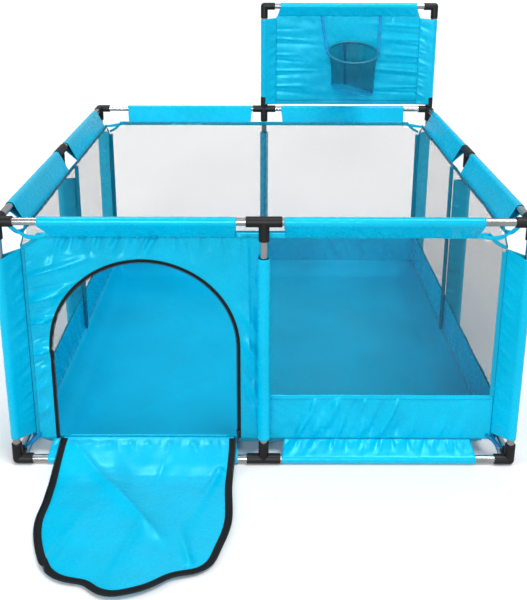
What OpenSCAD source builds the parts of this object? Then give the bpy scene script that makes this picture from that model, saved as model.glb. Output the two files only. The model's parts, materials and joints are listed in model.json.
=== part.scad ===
// Square fabric playpen: a push-fit frame of steel tubes and plastic connectors carries a
// sewn fabric box, a hoop board stands over half of the back rail, and a zipped door in the
// front panel lies open on the ground. Origin: centre of the footprint, on the ground.

/* [Frame] */
// Distance between opposite corner posts, centre to centre
frame_w = 1254; // [1000:2:1600]
// Height of the top rails' centre line
rail_h = 655; // [560:5:760]
// Height of the centre line of the tube along the top of the hoop board
board_h = 1040; // [980:5:1200]
// Outside diameter of the steel tubes
tube_d = 19; // [16:0.5:22]
// Wall of the steel tubes
tube_wall = 1; // [0.8:0.1:2]

/* [Connectors] */
// Outside diameter of the connectors' sockets
socket_d = 26; // [24:0.5:30]
// Length of a corner's arm along a rail
corner_arm = 39; // [30:1:60]
// Length of a corner's arm along a post
corner_drop = 44; // [30:1:60]
// Length of a tee's arm along a rail
tee_arm = 43; // [30:1:60]
// Length of a tee's arm along a post
tee_drop = 48; // [30:1:60]
// Distance from a connector's centre to the stop inside each socket
socket_stop = 15; // [14:1:20]
// Radial clearance of a tube in its socket
socket_gap = 0.1; // [0.05:0.05:0.3]

/* [Fabric box] */
// Distance from the frame's centre lines in to the fabric walls
wall_inset = 40; // [30:1:60]
// Thickness of the fabric walls and the floor mat
cloth_t = 2; // [1:0.5:4]
// Height at which the floor mat's edges meet the walls
mat_edge_h = 30; // [15:1:40]
// Width of the mat's sloping edge
mat_slope_w = 66; // [40:1:100]
// Distance from the top rail's centre down to the seam under its sleeve
top_seam_drop = 54; // [40:1:80]
// Height of the seam over the bottom rail's sleeve
low_seam_h = 45; // [35:1:70]
// Thickness of the cloth round the tubes
sleeve_t = 1.5; // [1:0.5:3]
// Radius of the cut-away corners at the top of the walls
corner_cut_r = 70; // [40:1:100]

/* [Door] */
// Distance from the middle of the pen to the middle of the door
door_x = 297; // [270:1:320]
// Half of the door opening's width, and the radius of its arched top
door_r = 232; // [150:1:240]
// Height of the top of the arch
door_top = 537; // [450:1:570]
// Height of the sill
door_sill = 46; // [40:1:60]
// Half of the flap's width
flap_r = 220; // [140:1:226]
// Length of the flap's part that lies over the bottom rail
strip_len = 115; // [105:1:150]
// Thickness of the flap
flap_t = 2; // [1:0.5:4]

/* [Hoop] */
// Distance of the hoop from the frame's middle post
hoop_x = 322; // [200:1:420]
// Height of the hoop's back on the board
hoop_h = 910; // [860:1:930]
// Radius of the hoop to the middle of its rim
hoop_r = 90; // [70:1:110]
// Radius of the hoop's rim
rim_r = 4; // [3:0.5:6]
// Slope of the hoop, down towards the front
hoop_tilt = 17; // [0:1:25]
// Height of the underside of the basket
basket_low = 733; // [700:1:760]
// Radius of the basket's bottom
basket_bottom_r = 80; // [60:1:85]

/* [Hidden] */
$fn = 48;
half = frame_w / 2;
low_h = socket_d / 2;
wall_y = -half + wall_inset;
seam_h = rail_h - top_seam_drop;
sleeve_in = tube_d / 2 + 0.5;
sleeve_out = sleeve_in + sleeve_t;
cut = 1;

// Directions of a connector's arms, each the turn that carries +Z to it
up = [0, 0, 0];
down = [180, 0, 0];
right = [0, 90, 0];
left = [0, -90, 0];
back = [-90, 0, 0];
front = [90, 0, 0];

// Sleeves: where they start and end, from the nearest connector's centre
rail_sleeve_corner = 100;
rail_sleeve_tee = 60;
post_sleeve_low = 59;
post_sleeve_high = 91;
board_sleeve_end = 96;
board_hem = 24;

// Door flap: hinge line, fold line on the ground and the zip
flap_hinge_h = door_sill + 3;
arch_h = door_top - door_r;
flap_len = door_top - 6 - flap_hinge_h;
strip_drop = flap_hinge_h - flap_t;
strip_angle = asin(strip_drop / strip_len);
fold_y = wall_y - strip_len * cos(strip_angle);
zip_w = 8;
zip_t = 1;
zip_face = wall_y - cloth_t / 2 - zip_t;
slider_size = [9, 4.2, 12];
slider_face = zip_face - 0.3 - slider_size[1];
slider_low = door_sill + 16;
pull_len = 22;
pull_w = 4.4;
pull_t = 1.5;
pin_r = 0.8;
knuckle_r = 1.8;
pull_y = slider_face - 2.8;
pull_h = slider_low + 8;

// Hoop: the line it hinges on, on the face of the board
board_y = half;
hoop_y = board_y - cloth_t / 2 - 0.5 - rim_r;
hoop_mid_y = hoop_y - hoop_r * cos(hoop_tilt);
hoop_mid_h = hoop_h - hoop_r * sin(hoop_tilt);
net_t = 2;
strap_r = 2.5;

SIDES = ["front", "right", "back", "left"];
PAIR = ["a", "b"];
CORNERS = ["front_left", "front_right", "back_right", "back_left"];

// ---- frame ----

// A plastic connector: one socket for each [direction, length]
module connector(arms) {
    color("#1b1b1d") difference() {
        union() {
            sphere(d = socket_d);
            for (a = arms) rotate(a[0]) {
                cylinder(d = socket_d, h = a[1] - 1);
                translate([0, 0, a[1] - 1]) cylinder(d1 = socket_d, d2 = socket_d - 2, h = 1);
            }
        }
        for (a = arms) rotate(a[0])
            translate([0, 0, socket_stop]) cylinder(d = tube_d + 2 * socket_gap, h = a[1]);
    }
}

// A steel tube along +Z from one connector's centre to the next, stopping inside both sockets
module tube(span) {
    end = socket_stop + 0.5;
    color("#c9ccd0") translate([0, 0, end]) difference() {
        cylinder(d = tube_d, h = span - 2 * end);
        translate([0, 0, -cut]) cylinder(d = tube_d - 2 * tube_wall, h = span);
    }
}

// Turns what is drawn at the front to one of the four sides
module at_side(s) {
    rotate(90 * s) children();
}

module corner(i, level) {
    arms = [[right, corner_arm], [back, corner_arm]];
    holds_board = i == 2;
    post = level == "top" ? concat([[down, corner_drop]], holds_board ? [[up, tee_drop]] : [])
                          : [[up, corner_drop]];
    at_side(i) translate([-half, -half, level == "top" ? rail_h : low_h])
        connector(concat(arms, post));
}

module tee(s, level) {
    arms = [[right, tee_arm], [left, tee_arm]];
    holds_board = s == 2;
    post = level == "top" ? concat([[down, tee_drop]], holds_board ? [[up, tee_drop]] : [])
                          : [[up, tee_drop]];
    at_side(s) translate([0, -half, level == "top" ? rail_h : low_h])
        connector(concat(arms, post));
}

module rail(s, p, h) {
    at_side(s) translate([p == 0 ? -half : 0, -half, h]) rotate(right) tube(half);
}

module post(x, y, from, to) {
    translate([x, y, from]) tube(to - from);
}

module corner_post(i) {
    at_side(i) post(-half, -half, low_h, rail_h);
}

module middle_post(s) {
    at_side(s) post(0, -half, low_h, rail_h);
}

module board_post(x) {
    post(x, half, rail_h, board_h);
}

module board_top_tube() {
    translate([0, half, board_h]) rotate(right) tube(half);
}

module board_elbow_inner() {
    translate([0, half, board_h]) connector([[right, corner_arm], [down, corner_drop]]);
}

module board_elbow_outer() {
    translate([half, half, board_h]) connector([[left, corner_arm], [down, corner_drop]]);
}

// ---- fabric box ----

// The outline of a cloth strip of the given thickness between two points
module strip2d(from, to, t) {
    d = to - from;
    translate(from) rotate(atan2(d[1], d[0])) translate([0, -t / 2]) square([norm(d), t]);
}

// The outline of a cloth loop round a tube, with a tail to a seam
module loop2d(at, seam) {
    d = seam - at;
    start = at + d * (sleeve_in + sleeve_t / 2) / norm(d);
    difference() {
        union() {
            translate(at) circle(sleeve_out);
            strip2d(start, seam, sleeve_t);
        }
        translate(at) circle(sleeve_in);
    }
}

// Extrudes an outline in Y and Z along +X
module along_x(from, to) {
    translate([from, 0, 0]) rotate([90, 0, 90]) linear_extrude(to - from) children();
}

// Sleeves of one module's top and bottom rails, from the corner end to the tee end
module rail_sleeves(from, to) {
    along_x(from, to) {
        loop2d([-half, rail_h], [wall_y, seam_h]);
        loop2d([-half, low_h], [wall_y, low_seam_h]);
    }
}

module post_sleeve_height() {
    translate([0, 0, low_h + post_sleeve_low])
        linear_extrude(rail_h - low_h - post_sleeve_low - post_sleeve_high) children();
}

module corner_post_sleeve() {
    post_sleeve_height() loop2d([-half, -half], [wall_y + 0.5, wall_y + 0.5]);
}

module middle_post_sleeve() {
    post_sleeve_height() loop2d([0, -half], [0, wall_y - cloth_t / 2]);
}

// One flat module of a wall, its upper corner cut away at the corner post
module wall_sheet(from, to, corner_x) {
    translate([0, wall_y + cloth_t / 2, 0]) rotate([90, 0, 0]) linear_extrude(cloth_t)
        difference() {
            translate([from, mat_edge_h]) square([to - from, seam_h - mat_edge_h]);
            translate([corner_x, seam_h]) circle(corner_cut_r);
        }
}

module left_module() {
    wall_sheet(wall_y - cloth_t / 2, 0, wall_y);
    rail_sleeves(-half + rail_sleeve_corner, -rail_sleeve_tee);
    corner_post_sleeve();
}

module right_module() {
    wall_sheet(0, -wall_y - cloth_t / 2, -wall_y);
    rail_sleeves(rail_sleeve_tee, half - rail_sleeve_corner);
    middle_post_sleeve();
}

// The outline of the door: an arch on straight sides
module arch2d(r, low, top) {
    translate([-door_x, 0]) {
        translate([-r, low]) square([2 * r, top - r - low]);
        translate([0, top - r]) circle(r);
    }
}

module front_door_panel() {
    color("#00b4e6") difference() {
        left_module();
        translate([0, wall_y + 5, 0]) rotate([90, 0, 0]) linear_extrude(10)
            arch2d(door_r, door_sill, door_top);
    }
}

module front_mesh_panel() {
    color("#8ecfe0") right_module();
}

module wall(s) {
    color("#8ecfe0") at_side(s) {
        left_module();
        right_module();
    }
}

// A square tray with sloping edges, its lowest face at the given height
module tray(inset, from, to) {
    low = -wall_y - mat_slope_w - inset;
    high = -wall_y - cloth_t / 2 - 0.3 - inset;
    outline = [[-low, from], [low, from], [high, to], [-high, to]];
    intersection() {
        translate([0, half, 0]) rotate([90, 0, 0]) linear_extrude(frame_w) polygon(outline);
        along_x(-half, half) polygon(outline);
    }
}

module floor_mat() {
    color("#00a5dc") difference() {
        tray(0, 0, mat_edge_h);
        tray(cloth_t, cloth_t, mat_edge_h + cut);
    }
}

// ---- door ----

module door_zip() {
    color("#16161a") translate([0, wall_y - cloth_t / 2, 0]) rotate([90, 0, 0])
        linear_extrude(zip_t) difference() {
            arch2d(door_r + zip_w, door_sill, door_top + zip_w);
            arch2d(door_r - 2, door_sill - cut, door_top - 2);
        }
}

module zip_slider() {
    x = -door_x + door_r;
    color("#2a2a2e") {
        translate([x - slider_size[0] / 2, slider_face, slider_low]) cube(slider_size);
        for (side = [-1, 1])
            translate([x + side * 3.4 - 0.6, pull_y - 1, pull_h - 1.5])
                cube([1.2, slider_face - pull_y + 1.2, 3]);
        translate([x - 3.4, pull_y, pull_h]) rotate(right) cylinder(r = pin_r, h = 6.8);
    }
}

// The pull's knuckle turns on the slider's pin; its tab hangs below and has a hole for a cord
module zip_pull() {
    color("#2a2a2e") translate([-door_x + door_r, pull_y, pull_h]) difference() {
        union() {
            translate([-pull_w / 2, 0, 0]) rotate(right) cylinder(r = knuckle_r, h = pull_w);
            translate([0, pull_t / 2, 0]) rotate([90, 0, 0]) linear_extrude(pull_t) {
                translate([-pull_w / 2, -pull_len]) square([pull_w, pull_len]);
                translate([0, -pull_len]) circle(pull_w / 2);
            }
        }
        translate([-pull_w, 0, 0]) rotate(right) cylinder(r = pin_r + 0.05, h = 2 * pull_w);
        translate([0, pull_w, -pull_len]) rotate([90, 0, 0]) cylinder(r = pin_r, h = 2 * pull_w);
    }
}

// The part of the flap that runs from the sill down over the bottom rail
module door_flap_strip() {
    color("#00b4e6") translate([-door_x - flap_r, wall_y, flap_hinge_h]) rotate([strip_angle, 0, 0])
        translate([0, -strip_len + 0.5, -flap_t / 2]) cube([2 * flap_r, strip_len - 0.5, flap_t]);
}

// The part of the flap that lies on the ground
module door_flap() {
    body = flap_len - strip_len;
    color("#00b4e6") translate([-door_x, fold_y - 0.5, 0]) linear_extrude(flap_t) {
        translate([-flap_r, -body + flap_r]) square([2 * flap_r, body - flap_r]);
        difference() {
            translate([0, -body + flap_r]) circle(flap_r);
            translate([-frame_w, -body + flap_r]) square(2 * frame_w);
        }
    }
}

// ---- hoop board ----

module hoop_board() {
    low = rail_h + board_hem;
    high = board_h - sleeve_in;
    color("#00b4e6") {
        translate([0, board_y + cloth_t / 2, 0]) rotate([90, 0, 0]) linear_extrude(cloth_t)
            difference() {
                translate([sleeve_in, low]) square([half - 2 * sleeve_in, high - low]);
                for (x = [0, half]) translate([x, board_h]) circle(board_sleeve_end - 5);
                for (x = [0, half]) translate([x, rail_h]) circle(tee_drop + 10);
            }
        along_x(board_sleeve_end, half - board_sleeve_end)
            loop2d([board_y, board_h], [board_y, board_h - 20]);
        for (x = [0, half]) translate([0, 0, rail_h + tee_drop + 4])
            linear_extrude(board_h - rail_h - tee_drop - board_sleeve_end)
                loop2d([x, board_y], [x == 0 ? 20 : half - 20, board_y]);
    }
}

// Puts what is drawn flat round the hoop's middle on the hoop's slope
module at_hoop() {
    translate([hoop_x, hoop_mid_y, hoop_mid_h]) rotate([hoop_tilt, 0, 0]) children();
}

module hoop_ring() {
    color("#5cc8e8") at_hoop() rotate_extrude() translate([hoop_r, 0]) circle(rim_r, $fn = 24);
}

// The basket's outer or inner shape: it narrows to the bottom, and the hoop's slope cuts its top
module basket_shape(wall, bottom) {
    top_r = hoop_r * cos(hoop_tilt) - wall;
    difference() {
        translate([hoop_x, hoop_mid_y, basket_low + bottom])
            cylinder(r1 = basket_bottom_r - wall, r2 = top_r, h = hoop_h - basket_low);
        at_hoop() translate([-2 * hoop_r, -2 * hoop_r, -rim_r - 0.5]) cube(4 * hoop_r);
    }
}

module hoop_basket() {
    color("#0a6f92") difference() {
        basket_shape(0, 0);
        translate([hoop_x, hoop_mid_y, basket_low + net_t])
            cylinder(r1 = basket_bottom_r - net_t, r2 = hoop_r * cos(hoop_tilt) - net_t,
                     h = hoop_h - basket_low);
    }
}

// A narrow strap between two points
module strap(from, to) {
    d = to - from;
    translate(from) rotate([0, acos(d[2] / norm(d)), atan2(d[1], d[0])])
        cylinder(r = strap_r, h = norm(d), $fn = 4);
}

module hoop_straps() {
    color("#00a0d0") for (side = [-1, 1])
        strap([hoop_x + side * (hoop_r + rim_r + strap_r + 1), hoop_mid_y, hoop_mid_h],
              [hoop_x + side * (hoop_r + 20), board_y - cloth_t / 2 - 4, board_h - 24]);
}

for (i = [0:3]) {
    corner(i, "top");
    corner(i, "bottom");
    tee(i, "top");
    tee(i, "bottom");
    corner_post(i);
    middle_post(i);
    for (p = [0:1]) {
        rail(i, p, rail_h);
        rail(i, p, low_h);
    }
}
board_elbow_inner();
board_elbow_outer();
board_post(0);  // board_post_inner
board_post(half);  // board_post_outer
board_top_tube();
front_door_panel();
front_mesh_panel();
for (s = [1:3]) {
    wall(s);
}
floor_mat();
door_zip();
zip_slider();
zip_pull();
door_flap_strip();
door_flap();
hoop_board();
hoop_ring();
hoop_basket();
hoop_straps();
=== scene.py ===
"""Cloth, net, zip, hoop and finishes of a square playpen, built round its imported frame."""

import json
import math
import random

import bmesh
import bpy
import numpy as np
from bpy.props import FloatProperty, FloatVectorProperty, PointerProperty
from mathutils import Matrix, Vector


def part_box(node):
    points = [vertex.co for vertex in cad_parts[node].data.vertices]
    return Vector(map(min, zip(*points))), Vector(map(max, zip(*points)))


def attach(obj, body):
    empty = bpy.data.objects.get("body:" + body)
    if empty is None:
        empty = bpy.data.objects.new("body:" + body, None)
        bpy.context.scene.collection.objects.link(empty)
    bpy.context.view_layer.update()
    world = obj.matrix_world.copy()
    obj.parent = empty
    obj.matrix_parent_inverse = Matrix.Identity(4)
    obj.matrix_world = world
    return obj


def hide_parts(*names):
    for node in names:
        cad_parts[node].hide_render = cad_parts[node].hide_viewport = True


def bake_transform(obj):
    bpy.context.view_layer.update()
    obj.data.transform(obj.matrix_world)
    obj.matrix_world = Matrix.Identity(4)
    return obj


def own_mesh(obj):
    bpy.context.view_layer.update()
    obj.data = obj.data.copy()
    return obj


bl_info = {
    "name": "Playpen with hoop board",
    "version": (1, 0, 0),
    "blender": (4, 5, 0),
    "location": "3D View > Sidebar > Playpen",
    "description": "Builds the cloth, net, zip, hoop and finishes of a playpen round its frame",
    "category": "Object",
}

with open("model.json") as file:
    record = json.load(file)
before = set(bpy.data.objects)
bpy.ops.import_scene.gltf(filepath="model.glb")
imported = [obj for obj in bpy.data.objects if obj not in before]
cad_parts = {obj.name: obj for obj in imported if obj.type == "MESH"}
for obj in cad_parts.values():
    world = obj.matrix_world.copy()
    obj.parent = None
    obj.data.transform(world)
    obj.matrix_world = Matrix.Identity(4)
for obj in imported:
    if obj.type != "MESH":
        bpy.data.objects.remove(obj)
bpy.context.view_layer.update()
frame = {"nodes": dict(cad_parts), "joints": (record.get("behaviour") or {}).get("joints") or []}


# ---- the frame's own measures, in metres ----

def middle(node):
    low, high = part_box(node)
    return (low + high) / 2


HALF = middle("corner_post_front_right").x
RAIL_Z = middle("top_rail_front_a").z
LOW_Z = middle("bottom_rail_front_a").z
BOARD_Z = middle("board_top_tube").z
TUBE_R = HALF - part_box("corner_post_front_right")[0].x
WALL = -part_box("front_mesh_panel")[1].y + 0.001
MAT_EDGE_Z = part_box("floor_mat")[1].z
JOINTS = {j["name"]: j for j in frame["joints"]}
HINGE = Vector(JOINTS["door_sill_fold"]["pos_m"])
FOLD = Vector(JOINTS["door_ground_fold"]["pos_m"])
HOOP = Vector(JOINTS["hoop_fold"]["pos_m"])
SIDES = ("front", "right", "back", "left")
CORNERS = ("front_left", "front_right", "back_right", "back_left")

# The door: its middle, its opening and its flap
DOOR_X = HINGE.x
SILL_Z = HINGE.z - 0.003
DOOR_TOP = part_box("door_zip")[1].z - 0.008
DOOR_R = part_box("door_zip")[1].x - DOOR_X - 0.008
FLAP_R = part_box("door_flap")[1].x - DOOR_X
ARCH_Z = DOOR_TOP - DOOR_R

# Wall panels and sleeves: distances along a wall are measured from its middle post
EDGE = WALL - 0.001
SEAM_Z = RAIL_Z - 0.054
TOP_EDGE_Z = SEAM_Z + 0.012
LOW_SEAM_Z = 0.045
SLEEVE_NEAR = 0.056
SLEEVE_FAR = 0.526
SLEEVE_SHIFT = 0.009
POST_SLEEVE_LOW = LOW_Z + 0.061
POST_SLEEVE_HIGH = RAIL_Z - 0.091
LOOP_R = TUBE_R + 0.0018
# How far a tape stands off the face of the cloth it is sewn to
TAPE_LIFT = 0.0012

# The door flap, from the sill: its whole length, where its round end starts, the part over the bottom rail.
# The sheet it is cut from is larger by a margin
FLAP_LENGTH = 0.482
FLAP_ARCH = FLAP_LENGTH - FLAP_R
STRIP_LENGTH = math.hypot(FOLD.y - HINGE.y, FOLD.z - HINGE.z)
FLAP_MARGIN = 0.022
# The flap's tape and teeth start this far from the sill
TAPE_START = 0.006
# Where the flap's round end bulges or is drawn in: angle from its left side, amount, and spread in radians
FLAP_WAVES = ((0.82, 0.011, 0.27), (1.20, -0.011, 0.15), (1.50, 0.013, 0.26), (2.08, -0.011, 0.17),
              (2.45, 0.014, 0.20))

# The board: its plane, its side and top seams and its lower hem
BOARD_Y = HALF - 0.0012
BOARD_IN = 0.045
BOARD_OUT = HALF - 0.052
BOARD_TOP = BOARD_Z - 0.036
BOARD_LOW = 0.674

# The hoop: its radius, its tilt, and the top and bottom radius and the depth of its net
HOOP_R = 0.09
HOOP_TILT = math.radians(17)
NET_R = 0.088
NET_LOW_R = 0.077
NET_DEPTH = 0.135


# ---- what a user may change ----

class PlaypenSizes(bpy.types.PropertyGroup):
    band_top: FloatProperty(
        name="Band top", description="Height of the top of the solid band under the net",
        default=0.167, min=0.08, max=0.4, unit="LENGTH")
    corner_cut: FloatProperty(
        name="Corner cut", description="Width cut away at the top corners of the walls",
        default=0.048, min=0.02, max=0.1, unit="LENGTH")
    binding: FloatProperty(
        name="Binding", description="Width of the tape sewn along cut edges",
        default=0.009, min=0.004, max=0.02, unit="LENGTH")
    strap: FloatProperty(
        name="Strap", description="Width of the tie straps",
        default=0.010, min=0.004, max=0.03, unit="LENGTH")
    cloth_cell: FloatProperty(
        name="Cloth cell", description="Size of the cloth's mesh cells",
        default=0.0036, min=0.003, max=0.03, unit="LENGTH")


class PlaypenColours(bpy.types.PropertyGroup):
    cloth: FloatVectorProperty(
        name="Cloth", description="Coated cloth of the walls, sleeves and flap", subtype="COLOR",
        default=(0.0, 0.47, 0.72), min=0, max=1)
    mat: FloatVectorProperty(
        name="Mat", description="Cloth of the floor mat", subtype="COLOR",
        default=(0.0, 0.40, 0.66), min=0, max=1)
    strap: FloatVectorProperty(
        name="Straps", description="Woven tape of the ties and hoop straps", subtype="COLOR",
        default=(0.0, 0.25, 0.56), min=0, max=1)
    net: FloatVectorProperty(
        name="Net", description="Thread of the wall net", subtype="COLOR",
        default=(0.035, 0.04, 0.045), min=0, max=1)
    basket: FloatVectorProperty(
        name="Basket net", description="Thread of the hoop's net", subtype="COLOR",
        default=(0.0, 0.10, 0.165), min=0, max=1)
    black: FloatVectorProperty(
        name="Black", description="Connectors, zip and binding", subtype="COLOR",
        default=(0.006, 0.006, 0.007), min=0, max=1)


def sizes():
    return bpy.context.scene.playpen_sizes


def colours():
    return bpy.context.scene.playpen_colours


# ---- materials ----

class Shader:
    """Short hand for laying out one material's nodes."""

    def __init__(self, name):
        self.material = bpy.data.materials.new(name)
        self.material.use_nodes = True
        self.tree = self.material.node_tree
        self.base = self.tree.nodes["Principled BSDF"]

    def node(self, kind, inputs=(), **settings):
        made = self.tree.nodes.new(kind)
        for key, value in settings.items():
            setattr(made, key, value)
        for key, value in dict(inputs).items():
            self.set(made, key, value)
        return made

    def set(self, node, key, value):
        if isinstance(value, bpy.types.NodeSocket):
            self.tree.links.new(value, node.inputs[key])
        else:
            node.inputs[key].default_value = value

    def give(self, **values):
        for key, value in values.items():
            self.set(self.base, key.replace("_", " "), value)

    def math(self, operation, first, second=0.0):
        return self.node("ShaderNodeMath", {0: first, 1: second}, operation=operation).outputs[0]

    def coords(self, kind, scale):
        where = self.node("ShaderNodeTexCoord").outputs[kind]
        return self.node("ShaderNodeMapping", {"Vector": where, "Scale": scale}).outputs[0]

    def flat(self):
        """The cloth's own flat measures, in metres, as X and Y."""
        return self.node("ShaderNodeSeparateXYZ", {"Vector": self.coords("UV", (1, 1, 1))}).outputs

    def noise(self, kind, scale, detail=2.0):
        return self.node("ShaderNodeTexNoise", {
            "Vector": self.coords(kind, (1, 1, 1)), "Scale": scale, "Detail": detail}).outputs["Fac"]

    def shades(self, factor, dark, light):
        ramp = self.node("ShaderNodeValToRGB", {"Fac": factor})
        ramp.color_ramp.elements[0].position = 0.3
        ramp.color_ramp.elements[1].position = 0.7
        ramp.color_ramp.elements[0].color = (*dark, 1)
        ramp.color_ramp.elements[1].color = (*light, 1)
        return ramp.outputs["Color"]

    def range(self, value, low, high):
        return self.node("ShaderNodeMapRange", {"Value": value, "To Min": low, "To Max": high}).outputs[0]

    def bump(self, height, distance, strength=1.0, under=None):
        inputs = {"Height": height, "Distance": distance, "Strength": strength}
        if under is not None:
            inputs["Normal"] = under
        return self.node("ShaderNodeBump", inputs).outputs[0]


def tint(colour, factor):
    return tuple(min(1.0, c * factor) for c in colour)


def threads(shader, pitch):
    """Height of a plain weave."""
    flat = shader.flat()
    turn = math.tau / pitch
    across, along = (shader.math("SINE", shader.math("MULTIPLY", flat[axis], turn)) for axis in ("X", "Y"))
    return shader.math("MULTIPLY", across, along)


def cloth_finish(name, colour, roughness=0.26, crinkle=0.00035, gloss=0.7):
    """Coated polyester: a fine weave, soft crinkles, and a satin gloss that varies."""
    s = Shader(name)
    cloud = s.noise("Object", 5.0, 3.0)
    fine = s.noise("UV", 38.0, 4.0)
    weave = s.bump(threads(s, 0.0011), 0.00004, 0.3)
    creased = s.bump(fine, crinkle, 0.55, weave)
    s.give(
        Base_Color=s.shades(cloud, tint(colour, 0.93), tint(colour, 1.06)),
        Roughness=s.range(fine, roughness - 0.07, roughness + 0.09),
        Normal=creased)
    s.give(Specular_IOR_Level=gloss, Specular_Tint=(0.20, 0.85, 1.0, 1))
    return s.material


def net_finish(name, colour, pitch, thread, haze):
    """Open net: diamond meshes of thread, seen through between them."""
    s = Shader(name)
    flat = s.flat()
    rows = []
    for sign in (1, -1):
        skew = s.math("ADD", flat["X"], s.math("MULTIPLY", flat["Y"], 0.6 * sign))
        rows.append(s.math("ABSOLUTE", s.math("SINE", s.math("MULTIPLY", skew, math.pi / pitch))))
    gap = s.math("MINIMUM", rows[0], rows[1])
    solid = s.math("LESS_THAN", gap, thread)
    cover = s.range(solid, haze, 1.0)
    shade = s.noise("Object", 9.0)
    s.give(
        Base_Color=s.shades(shade, tint(colour, 0.8), tint(colour, 1.25)), Alpha=cover,
        Normal=s.bump(gap, 0.0003, 0.4))
    s.give(Roughness=0.6, Specular_IOR_Level=0.3)
    return s.material


def tape_finish(name, colour, roughness=0.62):
    """Woven tape: cross ribs and worn colour."""
    s = Shader(name)
    rib = s.math("SINE", s.math("MULTIPLY", s.flat()["Y"], math.tau / 0.0014))
    wear = s.noise("Object", 60.0, 4.0)
    s.give(
        Base_Color=s.shades(wear, tint(colour, 0.8), tint(colour, 1.25)),
        Roughness=s.range(wear, roughness - 0.08, roughness + 0.1),
        Normal=s.bump(rib, 0.0002, 0.6))
    s.give(Specular_IOR_Level=0.25)
    return s.material


def hard_finish(name, blotch, shades, rough, bump, grain=None, **more):
    """Metal or plastic: two shades in blotches, gloss that varies with them, and a fine grain."""
    s = Shader(name)
    cloud = s.noise("Object", *blotch)
    fine = s.noise("Object", *grain) if grain else cloud
    s.give(Base_Color=s.shades(cloud, *shades), Roughness=s.range(cloud, *rough), Normal=s.bump(fine, *bump))
    s.give(**more)
    return s.material


FINISHES = {}


def finish(name):
    """One material of each kind, made when it is first asked for."""
    c = colours()
    cloth, strap_colour, black = tuple(c.cloth), tuple(c.strap), tuple(c.black)
    makers = {
        "cloth": lambda: cloth_finish("coated_cloth", cloth),
        "mat": lambda: cloth_finish("mat_cloth", tuple(c.mat), 0.55, 0.0022, 0.2),
        "binding": lambda: cloth_finish("binding_cloth", tint(cloth, 0.72), 0.45, 0.0006),
        "seam": lambda: tape_finish("seam_tape", tint(cloth, 0.42)),
        "strap": lambda: tape_finish("strap_tape", strap_colour),
        "hoop_seam": lambda: tape_finish("hoop_seam_tape", tint(strap_colour, 0.4)),
        "zip_tape": lambda: tape_finish("zip_tape", black, 0.7),
        "net": lambda: net_finish("wall_net", tuple(c.net), 0.0023, 0.19, 0.0),
        "basket_net": lambda: net_finish("basket_net", tuple(c.basket), 0.0026, 0.36, 0.12),
        # Bright drawn tube with light scuffs
        "steel": lambda: hard_finish(
            "bright_steel", (14.0, 5.0), ((0.50, 0.49, 0.49), (0.66, 0.65, 0.65)), (0.10, 0.22),
            (0.00004, 0.5), (420.0, 2.0), Metallic=1.0),
        # Moulded plastic with a spark-eroded grain and rubbed high spots
        "plastic": lambda: hard_finish(
            "black_plastic", (22.0, 4.0), (black, tint(black, 1.9)), (0.36, 0.52),
            (0.00008, 0.7), (900.0, 3.0), Specular_IOR_Level=0.3),
        # Nylon coil of the zip
        "zip_teeth": lambda: hard_finish(
            "zip_coil", (300.0, 2.0), (black, tint(black, 2.5)), (0.25, 0.4), (0.0001, 0.5)),
        # Lacquered die casting, bare metal showing where it is rubbed
        "lacquer": lambda: hard_finish(
            "black_lacquer", (220.0, 5.0), ((0.015, 0.015, 0.017), (0.06, 0.06, 0.065)), (0.22, 0.42),
            (0.00005, 0.5), Metallic=0.6),
        # Light blue plastic of the hoop
        "rim": lambda: hard_finish(
            "hoop_plastic", (120.0, 2.0), ((0.0, 0.15, 0.25), (0.01, 0.20, 0.31)), (0.32, 0.44),
            (0.00005, 0.4)),
    }
    if name not in FINISHES:
        FINISHES[name] = makers[name]()
    return FINISHES[name]


# ---- shaping ----

def make_piece(name, bm, material, body, smooth=True):
    """Turns a bmesh into a finished piece that rides on a body."""
    mesh = bpy.data.meshes.new(name)
    bm.to_mesh(mesh)
    bm.free()
    for face in mesh.polygons:
        face.use_smooth = smooth
    piece = bpy.data.objects.new(name, mesh)
    bpy.context.scene.collection.objects.link(piece)
    mesh.materials.append(finish(material))
    if body:
        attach(piece, body)
    return piece


def thicken(piece, thickness=0.0009):
    """Gives a sheet its thickness, half to each side."""
    wall = piece.modifiers.new("thickness", "SOLIDIFY")
    wall.thickness = thickness
    wall.offset = 0
    return piece


def settle(piece):
    """Makes the thickness part of the piece's own mesh."""
    depsgraph = bpy.context.evaluated_depsgraph_get()
    piece.data = bpy.data.meshes.new_from_object(piece.evaluated_get(depsgraph))
    piece.modifiers.clear()


def cut_out(bm, depth, cell):
    """Removes the points with a depth over 0, after pulling the nearest ones onto the outline."""
    step = 0.0001
    for v in bm.verts:
        d = depth(v.co.x, v.co.y)
        if abs(d) < 0.7 * cell:
            slope = Vector((depth(v.co.x + step, v.co.y) - d, depth(v.co.x, v.co.y + step) - d, 0)) / step
            v.co -= slope * d
    inside = [v for v in bm.verts if depth(v.co.x, v.co.y) > step]
    bmesh.ops.delete(bm, geom=inside, context="VERTS")


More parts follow.
